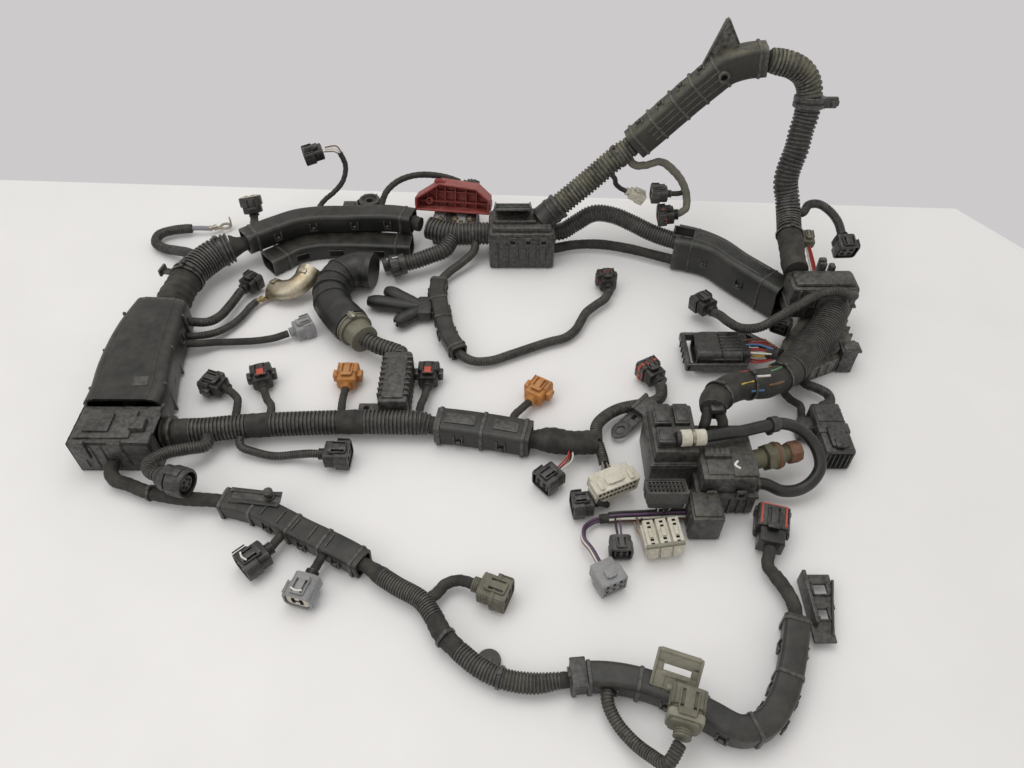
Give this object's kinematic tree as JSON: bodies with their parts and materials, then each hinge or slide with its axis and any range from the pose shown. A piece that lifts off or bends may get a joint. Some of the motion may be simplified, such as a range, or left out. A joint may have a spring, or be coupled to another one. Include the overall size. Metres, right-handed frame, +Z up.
{
  "type": "engine bay wiring harness",
  "caption": "Vehicle wiring harness with taped and corrugated trunks, moulded ducts, a relay box and short leads that end in plugs and ring terminals, laid out flat with one raised arch.",
  "frame": {"origin": "under the relay box, near its middle, on its flat base", "axes": "+X along the long side of the harness as laid out, toward the relay box end; +Y from the front trunk to the back ducts; +Z up from the floor that it lies on"},
  "size_m": [0.8312, 0.6994, 0.266],
  "materials": {
    "cloth_tape": "black cloth tape, dusty",
    "corrugated_conduit": "black corrugated polypropylene, worn",
    "dusty_conduit": "corrugated plastic under olive dust",
    "duct_plastic": "black moulded plastic, scuffed",
    "dusty_duct_plastic": "black moulded plastic under dust",
    "black_plug_plastic": "black glass-filled nylon",
    "orange_plug_plastic": "aged orange nylon",
    "grey_plug_plastic": "grey nylon",
    "white_plug_plastic": "off-white nylon",
    "olive_plug_plastic": "beige nylon under dust",
    "red_cover_plastic": "faded red plastic",
    "hose_rubber": "black rubber",
    "dull_brass": "tarnished tinned brass",
    "shield_steel": "thin sheet steel, dulled"
  },
  "bodies": {
    "root": {"arch_conduit": "corrugated_conduit", "arch_duct": "duct_plastic", "arch_slant": "dusty_conduit", "back_plug": "black_plug_plastic", "barrel_plug": "black_plug_plastic", "beige_plug": "olive_plug_plastic", "branch_plug_1": "black_plug_plastic", "bulkhead_cover": "duct_plastic", "bulkhead_plate": "duct_plastic", "cabin_bundle": "cloth_tape", "coil_plug": "black_plug_plastic", "corner_box": "duct_plastic", "corner_cover": "duct_plastic", "cross_plug": "black_plug_plastic", "elbow_boot": "hose_rubber", "end_duct": "duct_plastic", "end_plate": "duct_plastic", "fat_tube": "corrugated_conduit", "front_duct": "duct_plastic", "front_trunk": "cloth_tape", "fuse_link_block": "grey_plug_plastic", "grey_multi_plug": "grey_plug_plastic", "grey_plug": "grey_plug_plastic", "ground_lead": "dull_brass", "hanging_pair": "black_plug_plastic", "hanging_plug": "white_plug_plastic", "injector_duct": "duct_plastic", "injector_plug_1": "black_plug_plastic", "injector_plug_2": "black_plug_plastic", "injector_plug_3": "orange_plug_plastic", "injector_plug_4": "black_plug_plastic", "injector_plug_5": "orange_plug_plastic", "junction_box": "dusty_duct_plastic", "latch_plug": "black_plug_plastic", "left_trunk": "cloth_tape", "lever_plug": "black_plug_plastic", "link_conduit": "corrugated_conduit", "mid_duct": "duct_plastic", "mid_trunk": "corrugated_conduit", "olive_plug": "olive_plug_plastic", "open_plug": "black_plug_plastic", "plug_lever": "black_plug_plastic", "post_plug": "black_plug_plastic", "red_cover": "red_cover_plastic", "relay_box": "duct_plastic", "ribbed_cover": "duct_plastic", "ring_lead": "dull_brass", "round_plug": "black_plug_plastic", "shield_plug": "black_plug_plastic", "side_conduit": "corrugated_conduit", "small_grey_plug": "grey_plug_plastic", "speed_plug": "black_plug_plastic", "square_plug": "black_plug_plastic", "steel_shield": "shield_steel", "tall_plug": "black_plug_plastic", "top_duct": "duct_plastic", "vent_hose": "hose_rubber", "white_multi_plug": "white_plug_plastic", "white_triple_plug": "white_plug_plastic"}
  },
  "joints": []
}
